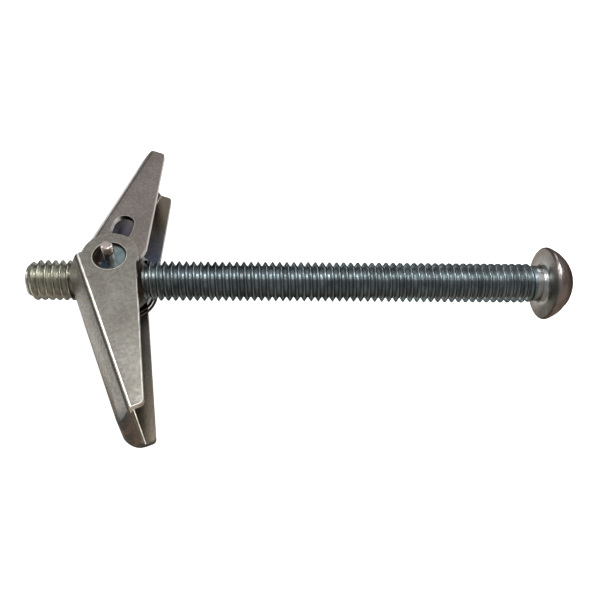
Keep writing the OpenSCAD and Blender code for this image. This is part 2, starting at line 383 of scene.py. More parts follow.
        # the grain breaks up the reflections, so that the sheet looks satin instead of polished
        grain = add(Kind.NOISE, {"Vector": place, "Scale": 1 / self.grain_mm, "Detail": 3.0})
        links = {0: grain, 1: self.uneven, 2: self.roughness - self.uneven / 2}
        rough = add(Kind.MATH, links, operation="MULTIPLY_ADD")
        dents = add(Kind.NOISE, {"Vector": place, "Scale": 1 / self.dent_mm})
        links = {0: grain, 1: self.grain_share, 2: dents}
        height = add(Kind.MATH, links, operation="MULTIPLY_ADD")
        # the relief is lower inside the channel, where strong dents would break up its reflections
        links = {0: within, 1: self.inside_relief - self.relief, 2: self.relief}
        relief = add(Kind.MATH, links, operation="MULTIPLY_ADD")
        return surface.finished(colour, rough, height, relief, self.relief_mm)


@dataclass(frozen=True)
class ZincThread:
    """Zinc plate with a blue passivation on a rolled thread.

    It gives the eye a cold metal whose crests and roots glint, yellower towards the tip. The roots
    are painted pale as a highlight.
    """

    name: str
    crest: str
    flank: str
    root: str
    tip: str
    edge: str = "#7A7C7A"
    root_mm: float = 3.08
    crest_mm: float = 3.9
    flank_roughness: float = 0.3
    glint: float = 0.18  # how much smoother the crests and the roots are than the flanks
    uneven: float = 0.12  # how much the smears change the roughness
    tip_mm: tuple[float, float] = (6.0, 26.0)  # the yellow fades over this length
    tip_share: float = 0.75
    patch_mm: float = 2.857
    smear_mm: float = 0.3333
    dent_mm: float = 0.4
    relief: float = 0.2
    relief_mm: float = 0.08

    def material(self) -> Material:
        """Makes the material.

        Returns:
            The finished material.
        """
        surface = Surface(self.name, self.edge)
        add, place = surface.add, surface.place
        links = {"Value": surface.from_axis((0, 1, 1))}
        depth = add(Kind.RANGE, links | {"From Min": self.root_mm, "From Max": self.crest_mm})
        # the pale root is a painted highlight that lifts the roots out of their shade
        stops = [(0.0, self.root), (0.45, self.flank), (1.0, self.crest)]
        base = add(Kind.RAMP, {"Fac": depth}, stops=stops)
        # the colour turns paler and yellower towards the tip, and bluer farther along
        start, end = self.tip_mm
        links = {"Value": surface.axes["X"], "From Min": start, "From Max": end}
        yellow = add(Kind.RANGE, links | {"To Min": self.tip_share, "To Max": 0.0})
        links = {FACTOR: yellow, FIRST: base, SECOND: self.tip}
        base = add(Kind.MIX, links, MIXED, data_type="RGBA")
        stops = [(0.3, "#C8C8C8"), (0.7, WHITE)]
        colour = surface.mottled(base, self.patch_mm, 3.0, stops)
        # the rolling dies leave crests and roots smoother than the flanks, so these two glint
        from_middle = add(Kind.MATH, {0: depth, 1: 2.0, 2: -1.0}, operation="MULTIPLY_ADD")
        ends = add(Kind.MATH, {0: from_middle}, operation="ABSOLUTE")
        links = {0: ends, 1: -self.glint, 2: self.flank_roughness}
        smooth = add(Kind.MATH, links, operation="MULTIPLY_ADD")
        smears = add(Kind.NOISE, {"Vector": place, "Scale": 1 / self.smear_mm})
        links = {0: smears, 1: self.uneven, 2: smooth}
        rough = add(Kind.MATH, links, operation="MULTIPLY_ADD")
        dents = add(Kind.NOISE, {"Vector": place, "Scale": 1 / self.dent_mm, "Detail": 3.0})
        return surface.finished(colour, rough, dents, self.relief, self.relief_mm)


@dataclass(frozen=True)
class HeadPlate:
    """Zinc plate on a cold-headed screw.

    It gives the eye a cold grey neck, a duller underside and a browner, shining dome. A darker
    brown band lies across the dome, and painted shade darkens the rim and one side of the
    underside.
    """

    name: str
    neck: str
    face: str
    dome: str
    # the colour of a darker brown band across the dome
    stain: str = "#6C5A50"
    # painted shade on one side of the underside
    painted_side_shade: str = "#80807A"
    # painted shade along the rim
    rim: str = "#5A5450"
    edge: str = "#C4B8B0"
    roughness: float = 0.22
    matt: float = 0.26  # how much rougher the underside is
    uneven: float = 0.1  # how much the smears change the roughness
    # each pair is the reach over which something starts to show, as a radius, or along Y or X
    face_mm: tuple[float, float] = (3.9, 6.1)
    side_shade_mm: tuple[float, float] = (3.9, 4.6)
    side_shade_y: tuple[float, float] = (-1.5, -4.5)
    rim_mm: tuple[float, float] = (6.75, 7.15)
    ring_mm: tuple[float, float] = (2.4, 3.6)
    ring_end: tuple[float, float] = (6.4, 5.4)
    ring_side: tuple[float, float] = (-6.0, -2.0)
    dome_mm: tuple[float, float] = (SCREW_MM + 0.05, SCREW_MM + 0.55)
    patch_mm: float = 2.0
    smear_mm: float = 0.4
    dent_mm: float = 0.8333
    relief: float = 0.15
    relief_mm: float = 0.05

    def banded_dome(self, surface: Surface, radius: NodeSocket) -> NodeSocket:
        """Makes the dome's colour with a darker brown band that is part of a ring.

        Args:
            surface: The material while it is made.
            radius: How far the place is from the screw's axis, in millimetres.

        Returns:
            The colour's socket.
        """
        add, sideways = surface.add, surface.axes["Y"]
        start, end = self.ring_mm
        ring = add(Kind.RANGE, {"Value": radius, "From Min": start, "From Max": end})
        for value, (start, end) in ((radius, self.ring_end), (sideways, self.ring_side)):
            limit = add(Kind.RANGE, {"Value": value, "From Min": start, "From Max": end})
            ring = add(Kind.MATH, {0: ring, 1: limit}, operation="MULTIPLY")
        links = {FACTOR: ring, FIRST: self.dome, SECOND: self.stain}
        return add(Kind.MIX, links, MIXED, data_type="RGBA")

    def material(self) -> Material:
        """Makes the material.

        Returns:
            The finished material.
        """
        surface = Surface(self.name, self.edge)
        add, place = surface.add, surface.place
        radius = surface.from_axis((0, 1, 1))
        under, near, aside, rim_shade, domed = (
            add(Kind.RANGE, {"Value": value, "From Min": start, "From Max": end})
            for value, (start, end) in (
                (radius, self.face_mm),
                (radius, self.side_shade_mm),
                (surface.axes["Y"], self.side_shade_y),
                (radius, self.rim_mm),
                (surface.axes["X"], self.dome_mm),
            )
        )
        low = add(Kind.MATH, {0: near, 1: aside}, operation="MULTIPLY")
        # painted shade darkens the rim and one side of the underside
        colour = self.neck
        for share, coat in (
            (under, self.face),
            (low, self.painted_side_shade),
            (rim_shade, self.rim),
            (domed, self.banded_dome(surface, radius)),
        ):
            links = {FACTOR: share, FIRST: colour, SECOND: coat}
            colour = add(Kind.MIX, links, MIXED, data_type="RGBA")
        colour = surface.mottled(colour, self.patch_mm, 4.0, [(0.3, "#D8D8D8"), (0.7, WHITE)])
        # the die left the underside matt, so that it doesn't mirror the thread
        below = add(Kind.MATH, {0: 1.0, 1: domed}, operation="SUBTRACT")
        below = add(Kind.MATH, {0: under, 1: below}, operation="MULTIPLY")
        links = {0: below, 1: self.matt, 2: self.roughness - self.uneven / 2}
        satin = add(Kind.MATH, links, operation="MULTIPLY_ADD")
        smears = add(Kind.NOISE, {"Vector": place, "Scale": 1 / self.smear_mm})
        links = {0: smears, 1: self.uneven, 2: satin}
        rough = add(Kind.MATH, links, operation="MULTIPLY_ADD")
        dents = add(Kind.NOISE, {"Vector": place, "Scale": 1 / self.dent_mm})
        return surface.finished(colour, rough, dents, self.relief, self.relief_mm)


@dataclass(frozen=True)
class TrunnionMetal:
    """Zinc plate on a machined nut.

    It gives the eye blue-grey journal ends with painted shadow and shade on one side, worn brown
    pegs and a body painted nearly black as shade.
    """

    name: str
    peg: str
    journal: str
    # painted shade and painted shadow on the journal end's side towards the tip
    journal_shade: str
    journal_shadow: str
    # the body is painted nearly black as shade
    body: str
    roughness: float = 0.2
    uneven: float = 0.12  # how much the smears change the roughness
    peg_mm: float = 1.105
    journal_mm: float = 3.12
    body_mm: tuple[float, float] = (2.67, 2.97)  # the body's colour starts over this reach
    patch_mm: float = 1.111
    smear_mm: float = 0.25
    dent_mm: float = 0.3333
    relief: float = 0.12
    relief_mm: float = 0.05

    def material(self) -> Material:
        """Makes the material.

        Returns:
            The finished material.
        """
        surface = Surface(self.name)
        add, place = surface.add, surface.place
        radius = surface.from_axis((1, 1, 0), HINGE_MM)
        start, end = HINGE_MM - self.journal_mm, HINGE_MM + self.journal_mm
        side = add(Kind.RANGE, {"Value": surface.axes["X"], "From Min": start, "From Max": end})
        # painted shadow and shade darken one side of the journal's end, from dark brown through
        # navy to its own blue
        dark, cold = self.journal_shadow, self.journal_shade
        stops = [(0.2, dark), (0.32, cold), (0.5, cold), (0.62, self.journal)]
        journal = add(Kind.RAMP, {"Fac": side}, stops=stops)
        off_peg = add(Kind.MATH, {0: radius, 1: self.peg_mm}, operation="GREATER_THAN")
        start, end = self.body_mm
        off_journal = add(Kind.RANGE, {"Value": radius, "From Min": start, "From Max": end})
        links = {FACTOR: off_peg, FIRST: self.peg, SECOND: journal}
        ends = add(Kind.MIX, links, MIXED, data_type="RGBA")
        links = {FACTOR: off_journal, FIRST: ends, SECOND: self.body}
        base = add(Kind.MIX, links, MIXED, data_type="RGBA")
        colour = surface.mottled(base, self.patch_mm, 4.0, [(0.3, "#CCCCCC"), (0.7, WHITE)])
        smears = add(Kind.NOISE, {"Vector": place, "Scale": 1 / self.smear_mm})
        links = {0: smears, 1: self.uneven, 2: self.roughness - self.uneven / 2}
        rough = add(Kind.MATH, links, operation="MULTIPLY_ADD")
        dents = add(Kind.NOISE, {"Vector": place, "Scale": 1 / self.dent_mm})
        return surface.finished(colour, rough, dents, self.relief, self.relief_mm)


@dataclass(frozen=True)
class DrawnWire:
    """Oily, drawn spring wire: it gives the eye a dark satin metal with faint mottling."""

    name: str
    light: str
    dark: str
    roughness: float = 0.3
    uneven: float = 0.12  # how much the dents change the roughness
    mottle_mm: float = 1.0
    dent_mm: float = 0.4
    relief: float = 0.08
    relief_mm: float = 0.05

    def material(self) -> Material:
        """Makes the material.

        Returns:
            The finished material.
        """
        surface = Surface(self.name)
        add, place = surface.add, surface.place
        cloud = add(Kind.NOISE, {"Vector": place, "Scale": 1 / self.mottle_mm, "Detail": 4.0})
        colour = add(Kind.RAMP, {"Fac": cloud}, stops=[(0.3, self.dark), (0.7, self.light)])
        dents = add(Kind.NOISE, {"Vector": place, "Scale": 1 / self.dent_mm})
        links = {0: dents, 1: self.uneven, 2: self.roughness - self.uneven / 2}
        rough = add(Kind.MATH, links, operation="MULTIPLY_ADD")
        return surface.finished(colour, rough, dents, self.relief, self.relief_mm)


# the nearer wing reads as a pale, warm grey with bright painted highlights on its rims
FRONT_SHEET = ZincSheet(
    name="front_zinc_sheet",
    light="#B4B1A8",
    dark="#A39F97",
    stain="#978A7D",
    inside_root="#8C8884",
    inside_tip="#938A7C",
    rim="#FFFBF2",
    far_highlight=1.0,
)
# the farther wing is a little browner, with a blue root and dimmer painted highlights on its rims
REAR_SHEET = ZincSheet(
    name="rear_zinc_sheet",
    light="#AEA49E",
    dark="#9F9690",
    stain="#94867E",
    inside_root="#C4D8FF",
    inside_tip="#8A8174",
    rim="#CCC6C0",
    far_highlight=0.2,
)
# blue-grey flanks between roots painted bright as a highlight, and a straw yellow tip
SCREW_THREAD = ZincThread(
    name="blue_zinc_thread", crest="#98A4A8", flank="#8F9DA3", root="#DCE0E0", tip="#ECE8D6"
)
# a cold neck under a warmer, browner head
SCREW_HEAD = HeadPlate(name="zinc_screw_head", neck="#C4C8C8", face="#ACA6A0", dome="#B6ABA6")
# cold journal ends that stand out from a body painted nearly black as shade
NUT_METAL = TrunnionMetal(
    name="zinc_trunnion",
    peg="#F0E0D8",
    journal="#9DB2B6",
    journal_shade="#46505E",
    journal_shadow="#30261F",
    body="#4A3F38",
)
# thin brown arcs that stay dark beside the nut
SPRING_WIRE = DrawnWire(name="spring_wire", light="#7C7064", dark="#463D35")


# ---- Meshes ----


def make_object(bm: BMesh, name: str, material: Material) -> Object:
    """Makes an object of a mesh in millimetres and puts it in the scene.

    Args:
        bm: The mesh, in the frame's own directions. It is freed.
        name: The object's name.
        material: Its finish.

    Returns:
        The object, at the origin.
    """
    bmesh.ops.scale(bm, vec=(MM, MM, MM), verts=bm.verts)
    mesh = bpy.data.meshes.new(name)
    bm.to_mesh(mesh)
    bm.free()
    mesh.materials.append(material)
    made = bpy.data.objects.new(name, mesh)
    bpy.context.scene.collection.objects.link(made)
    return made


def finish_piece(
    bm: BMesh,
    name: str,
    material: Material,
    body: Body,
    nodes: Sequence[str],
    edge_mm: float = 0.0,
    sharp_degrees: float = 50.0,
    clamp: bool = True,
) -> Object:
    """Makes a piece of a mesh in millimetres, dresses it and lets it ride on its body.

    Args:
        bm: The closed mesh, in the frame's own directions. It is freed.
        name: The piece's name.
        material: Its finish.
        body: The body that it rides on.
        nodes: The frame's nodes that it replaces.
        edge_mm: Width of the small bevel along its sharp outer edges, or 0 for none.
        sharp_degrees: The angle from which an edge is sharp.
        clamp: Whether the bevel stays so narrow that it can't overlap itself.

    Returns:
        The finished piece.
    """
    sharp = math.radians(sharp_degrees)
    if edge_mm:
        weight = bm.edges.layers.float.new("bevel_weight_edge")
        for edge in bm.edges:
            if edge.is_convex and edge.calc_face_angle(0.0) > sharp:
                edge[weight] = 1.0
    piece = make_object(bm, name, material)
    piece.data.shade_smooth()
    piece.data.set_sharp_from_angle(angle=sharp)
    if edge_mm:
        bevel = piece.modifiers.new("edges", "BEVEL")
        bevel.width = edge_mm * MM
        bevel.segments = 3
        bevel.limit_method = "WEIGHT"
        bevel.harden_normals = True
        bevel.use_clamp_overlap = clamp
    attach(piece, body.value)
    if nodes:
        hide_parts(*nodes)
    LOG.info("%s: %d faces, rides on %s", name, len(piece.data.polygons), body.value)
    return piece


def profile_chain(bm: BMesh, points: Line) -> list[BMVert | BMEdge]:
    """Draws a profile as a chain of edges in the plane through +X and +Y.

    Args:
        bm: The mesh that gets the chain.
        points: Places along X and distances from it, in order.

    Returns:
        The chain's vertices and edges.
    """
    verts = [bm.verts.new((x, r, 0.0)) for x, r in points]
    edges = [bm.edges.new(pair) for pair in zip(verts, verts[1:])]
    return verts + edges


def arc(x: float, r: float, size: float, start: float, end: float, steps: int) -> Profile:
    """Gives an arc of a profile.

    Args:
        x: Place of its centre along X.
        r: Distance of its centre from X.
        size: The arc's radius.
        start: The angle of its first point in degrees, from the direction of X outwards.
        end: The angle of its last point in degrees.
        steps: How many chords it has.

    Returns:
        Places along X and distances from it, in order.
    """
    angles = [math.radians(start + (end - start) * i / steps) for i in range(steps + 1)]
    return [(x + size * math.cos(a), r + size * math.sin(a)) for a in angles]


def cut_through(
    bm: BMesh, place: Sequence[float], normal: Sequence[float], **settings: Any
) -> list[BMEdge]:
    """Cuts a whole mesh at a plane.

    Args:
        bm: The mesh.
        place: A place in the plane.
        normal: The direction that the plane faces.
        settings: The operator's other settings: its tolerance, and the side that goes.

    Returns:
        The edges that lie in the plane after the cut.
    """
    geom = bm.verts[:] + bm.edges[:] + bm.faces[:]
    made = bmesh.ops.bisect_plane(bm, geom=geom, plane_co=place, plane_no=normal, **settings)
    return [item for item in made["geom_cut"] if isinstance(item, BMEdge)]


def close_up(bm: BMesh, distance: float = 0.0005) -> None:
    """Merges doubled vertices and turns all the faces outward."""
    bmesh.ops.remove_doubles(bm, verts=bm.verts, dist=distance)
    bmesh.ops.recalc_face_normals(bm, faces=bm.faces)


def node_copy(name: str, merge_mm: float = 0.002, flat_degrees: float = 0.6) -> BMesh:
    """Copies a node of the frame as one merged mesh of flat faces, in millimetres.

    Args:
        name: The node's name.
        merge_mm: Vertices that lie closer than this are one.
        flat_degrees: Faces that meet at a smaller angle are one.

    Returns:
        The copy, with its flat triangles joined into whole faces.
    """
    bm = bmesh.new()
    bm.from_mesh(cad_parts[name].data)
    bmesh.ops.scale(bm, vec=(1 / MM,) * 3, verts=bm.verts)
    bmesh.ops.remove_doubles(bm, verts=bm.verts, dist=merge_mm)
    bmesh.ops.dissolve_limit(
        bm,
        angle_limit=math.radians(flat_degrees),
        use_dissolve_boundaries=False,
        verts=bm.verts,
        edges=bm.edges,
        delimit=set(),
    )
    return bm


# ---- Pieces ----


@dataclass
class MachineScrew:
    """A slotted round-head machine screw with a rolled thread up to its neck."""

    length: float = SCREW_MM
    pitch: float = 1.4111
    crest_r: float = 3.925
    root_r: float = 3.08
    # one tooth: places from the crest's middle, and heights over the crest and over the root
    crest_line: Line = (
        (-0.11, -0.05),
        (-0.05, 0.0),
        (0.05, 0.0),
        (0.11, -0.05),
    )
    root_line: Line = (
        (0.565, 0.115),
        (0.62, 0.045),
        (0.705, 0.0),
        (0.79, 0.045),
        (0.845, 0.115),
    )
    crest_place: float = 0.65
    steps: int = 60  # chords in one turn of the thread
    spare_teeth: int = 2  # wound past each end and cut off again
    thread_overlap: float = 0.3  # how far the thread's end hides inside the neck
    tip_r: float = 2.9
    chamfer: float = 1.3
    fade_start: float = 1.3  # how far before the neck the thread starts to run out
    fade_length: float = 1.2
    fade_under: float = 0.03  # how far under the neck's surface it ends
    neck_length: float = 2.0
    neck_r: float = 3.55
    neck_chamfer: float = 0.12
    neck_overlap: float = 0.1
    flare: float = 0.95
    head_r: float = 7.25
    head_height: float = 5.65
    rim: float = 0.6
    edge_r: float = 0.55
    slot_width: float = 1.9
    slot_depth: float = 3.0
    slot_turn: float = 5.0  # degrees about the screw
    head_edge_mm: float = 0.1
    around: int = 96  # chords in the head's full turn

    @property
    def thread_end(self) -> float:
        """Where the thread ends and the neck starts."""
        return self.length - self.neck_length

    def tooth(self) -> Profile:
        """Gives one tooth's profile.

        Returns:
            Places from the crest's middle, and radii, up to just before the next crest.
        """
        crest = [(x, self.crest_r + height) for x, height in self.crest_line]
        return crest + [(x, self.root_r + height) for x, height in self.root_line]

    def run_out(self, x: float, radius: float) -> float:
        """Trims a radius to the chamfer at the tip and fades the thread out at the neck.

        Args:
            x: Place along the screw.
            radius: The full thread's radius there.

        Returns:
            The trimmed radius.
        """
        cone = self.tip_r + max(x, 0.0) * (self.crest_r - self.tip_r) / self.chamfer
        into = (x - self.thread_end + self.fade_start) / self.fade_length
        fade = min(max(into, 0.0), 1.0)
        fade = fade * fade * (3 - 2 * fade)
        neck = self.neck_r - self.fade_under
        return min(radius + (neck - radius) * fade, cone)

    def build_thread(self, material: Material) -> Object:
        """Winds the thread by spinning its profile a full turn while it moves on one pitch.

        Args:
            material: The thread's finish.

        Returns:
            The threaded piece.
        """
        bm = bmesh.new()
        last = math.ceil(self.thread_end / self.pitch) + self.spare_teeth
        points = [
            (self.crest_place + k * self.pitch + x, r)
            for k in range(-self.spare_teeth, last)
            for x, r in self.tooth()
        ]
        bmesh.ops.spin(
            bm,
            geom=profile_chain(bm, points),
            cent=(0, 0, 0),
            axis=(1, 0, 0),
            dvec=(self.pitch / self.steps, 0, 0),
            angle=math.tau,
            steps=self.steps,
            use_merge=False,
        )
        bmesh.ops.remove_doubles(bm, verts=bm.verts, dist=0.001)
        for place, facing in ((0.0, -1), (self.thread_end + self.thread_overlap, 1)):
            rim = cut_through(bm, (place, 0, 0), (facing, 0, 0), dist=1e-5, clear_outer=True)
            bmesh.ops.edgeloop_fill(bm, edges=rim)
        for vert in bm.verts:
            radius = math.hypot(vert.co.y, vert.co.z)
            factor = self.run_out(vert.co.x, radius) / radius
            vert.co.y *= factor
            vert.co.z *= factor
        bmesh.ops.recalc_face_normals(bm, faces=bm.faces)
        return finish_piece(
            bm, "screw_thread", material, Body.SCREW, ["machine_screw"]
        )

    def head_profile(self) -> Profile:
        """Gives the profile of the neck, the flare and the domed head.

        Returns:
            Places along the screw and radii, from inside the neck over the head to the dome's top.
        """
        start = self.thread_end - self.neck_overlap
        rise = self.head_height - self.rim
        dome_r = (self.head_r**2 + rise**2) / (2 * rise)
        centre = self.length + self.head_height - dome_r
        rim_angle = math.degrees(math.asin(self.head_r / dome_r))
        return [
            (start, 0.0),
            (start, self.neck_r - self.neck_chamfer),
            (start + self.neck_chamfer, self.neck_r),
            *arc(self.length - self.flare, self.neck_r + self.flare, self.flare, -90, 0, 6),
            *arc(self.length + self.edge_r, self.head_r - self.edge_r, self.edge_r, 180, 90, 8),
            *arc(centre, 0.0, dome_r, rim_angle, 0, 28),
        ]

    def build_head(self, material: Material) -> Object:
        """Turns the head and cuts the driver slot across it.

        Args:
            material: The head's finish.

        Returns:
            The head with its neck.
        """
        bm = bmesh.new()
        bmesh.ops.spin(
            bm,
            geom=profile_chain(bm, self.head_profile()),
            cent=(0, 0, 0),
            axis=(1, 0, 0),
            dvec=(0, 0, 0),
            angle=math.tau,
            steps=self.around,
            use_merge=True,
        )
        close_up(bm)
        half = self.slot_width / 2
        floor = self.length + self.head_height - self.slot_depth
        side = Matrix.Rotation(math.radians(self.slot_turn), 3, "X") @ Vector((0, 0, 1))
        walls = ((side * half, side), (-side * half, side))
        for place, normal in (*walls, ((floor, 0, 0), (1, 0, 0))):
            cut_through(bm, place, normal, dist=1e-4)
        middles = ((face, face.calc_center_median()) for face in bm.faces)
        gone = [face for face, spot in middles if abs(spot.dot(side)) < half and spot.x > floor]
        bmesh.ops.delete(bm, geom=gone, context="FACES")
        rim = [v for v in bm.verts if v.is_boundary]
        # each wall gets an edge along the slot's floor and is filled, and the floor comes last
        for sign in (1, -1):
            wall = [v for v in rim if abs(v.co.dot(side) - sign * half) < 1e-3]
            bm.edges.new(sorted(wall, key=lambda v: v.co.x)[:2])
            edges = [e for e in bm.edges if len(e.link_faces) < 2 and set(e.verts) <= set(wall)]
            bmesh.ops.edgeloop_fill(bm, edges=edges)
        bmesh.ops.edgeloop_fill(bm, edges=[e for e in bm.edges if len(e.link_faces) == 1])
        bmesh.ops.recalc_face_normals(bm, faces=bm.faces)
        return finish_piece(
            bm,
            "screw_head",
            material,
            Body.SCREW,
            ["machine_screw"],
            edge_mm=self.head_edge_mm,
            sharp_degrees=40,
        )

    def build(self) -> list[Object]:
        """Builds the thread and the head and dresses them.

        Returns:
            The thread and the head.
        """
        return [
            self.build_thread(SCREW_THREAD.material()),
            self.build_head(SCREW_HEAD.material()),
        ]


@dataclass
class Wing:
    """A folded sheet-steel wing.

    Its channel's inside, darkened by its finish as painted shade, and its rims, painted bright as a
    highlight, are marked on the faces, and its finish reads them.
    """

    node: str
    body: Body
    lean: float  # degrees towards the head
    side: int  # -1 for the front wing and 1 for the rear one
    bend_shows: bool  # whether the bend at the channel's foot catches light
    hinge: float = HINGE_MM
    sheet_mm: float = 1.1
    rim_mm: float = 0.14  # width of the painted highlight band on the upper cheek
    along: float = 15.0  # the channel's middle, from the hinge along the wing
    behind: float = 3.0  # and from the hinge towards the wing's back
    within: float = 1.5  # a face looks into the channel if the middle is so far in front of it
    rim_z: float = 4.0  # the cheeks' rims lie farther than this from the screw's middle plane
    under_mm: float = 0.004  # how far under a face its thickness is measured from
    sheared: float = 1.2  # a face with more sheets' thickness than this behind it is a cut edge
    bend_up: tuple[float, float] = (0.6, 0.995)  # how far the bend's faces look up
    cheek_up: float = 0.93  # and the cheek's
    cheek_mm2: float = 2.0  # smaller faces are no part of the cheek's flat

    def mark_inside(self, bm: BMesh) -> None:
        """Marks the faces that look into the channel, which the finish darkens as painted shade.

        Args:
            bm: The wing's mesh.
        """
        s, c = math.sin(math.radians(self.lean)), math.cos(math.radians(self.lean))
        x = self.hinge + self.along * s - self.behind * c
        middle = Vector((x, self.side * (self.along * c + self.behind * s), 0))
        layer = bm.faces.layers.float.new("inside")
        for face in bm.faces:
            ahead = face.normal.dot(middle - face.calc_center_median())
            face[layer] = 1.0 if ahead > self.within else 0.0

    def face_spots(self, bm: BMesh) -> dict[BMFace, Vector]:
        """Gives a place that surely lies on each face.

        Args:
            bm: The wing's mesh.

        Returns:
            The middle of each face's largest triangle.
        """
        largest: dict[BMFace, tuple[float, Vector]] = {}
        for loops in bm.calc_loop_triangles():
            a, b, c = (loop.vert.co for loop in loops)
            area = (b - a).cross(c - a).length
            if area > largest.get(loops[0].face, (0.0,))[0]:
                largest[loops[0].face] = (area, (a + b + c) / 3)
        return {face: spot for face, (_, spot) in largest.items()}

    def mark_painted_highlights(self, bm: BMesh) -> None:
        """Marks where the finish paints a bright highlight.

        These are the upper cheek's sheared edges, a narrow band along them, and the bend at the
        foot of the channel where it shows.

        Args:
            bm: The wing's mesh with its inside marked.
        """
        # the rim layer marks where a highlight is painted bright
        rim = bm.faces.layers.float.new("rim")
        inside = bm.faces.layers.float["inside"]
        depth = BVHTree.FromBMesh(bm)
        for face, spot in self.face_spots(bm).items():
            # a cheek has one sheet's thickness behind it, and a sheared edge has much more
            start = spot - face.normal * self.under_mm
            thick = depth.ray_cast(start, -face.normal)[3] or 0.0
            if spot.z > self.rim_z and thick > self.sheared * self.sheet_mm:
                face[rim] = 1.0
            low, high = self.bend_up
            bent = face[inside] and low < face.normal.z < high
            if self.bend_shows and bent and spot.z < -self.rim_z:
                face[rim] = 1.0
        level = [f for f in bm.faces if f.normal.z > self.cheek_up and not f[inside]]
        cheek = [f for f in level if f.calc_area() > self.cheek_mm2]
        band = bmesh.ops.inset_region(
            bm,
            faces=cheek,
            thickness=self.rim_mm,
            depth=0.0,
            use_boundary=True,
            use_even_offset=True,
        )
        for face in band["faces"]:
            face[rim] = 1.0

    def build(self, material: Material) -> Object:
        """Builds the wing and dresses it.

        Args:
            material: The sheet's finish.

        Returns:
            The wing.
        """
        bm = node_copy(self.node)
        self.mark_inside(bm)
        self.mark_painted_highlights(bm)
        name = self.node + "_sheet"
        return finish_piece(
            bm, name, material, self.body, [self.node], sharp_degrees=30
        )


@dataclass
class TrunnionNut:
    """The nut with its journals and pegs."""

    node: str = "trunnion_nut"
    edge_mm: float = 0.12

    def build(self, material: Material) -> Object:
        """Builds the nut and dresses it.

        Args:
            material: The nut's finish.

        Returns:
            The nut.
        """
        # the bevel isn't clamped, so that short edges don't narrow it
        return finish_piece(
            node_copy(self.node),
            "trunnion_body",
            material,
            Body.NUT,
            [self.node],
            edge_mm=self.edge_mm,
            sharp_degrees=35,
            clamp=False,
        )


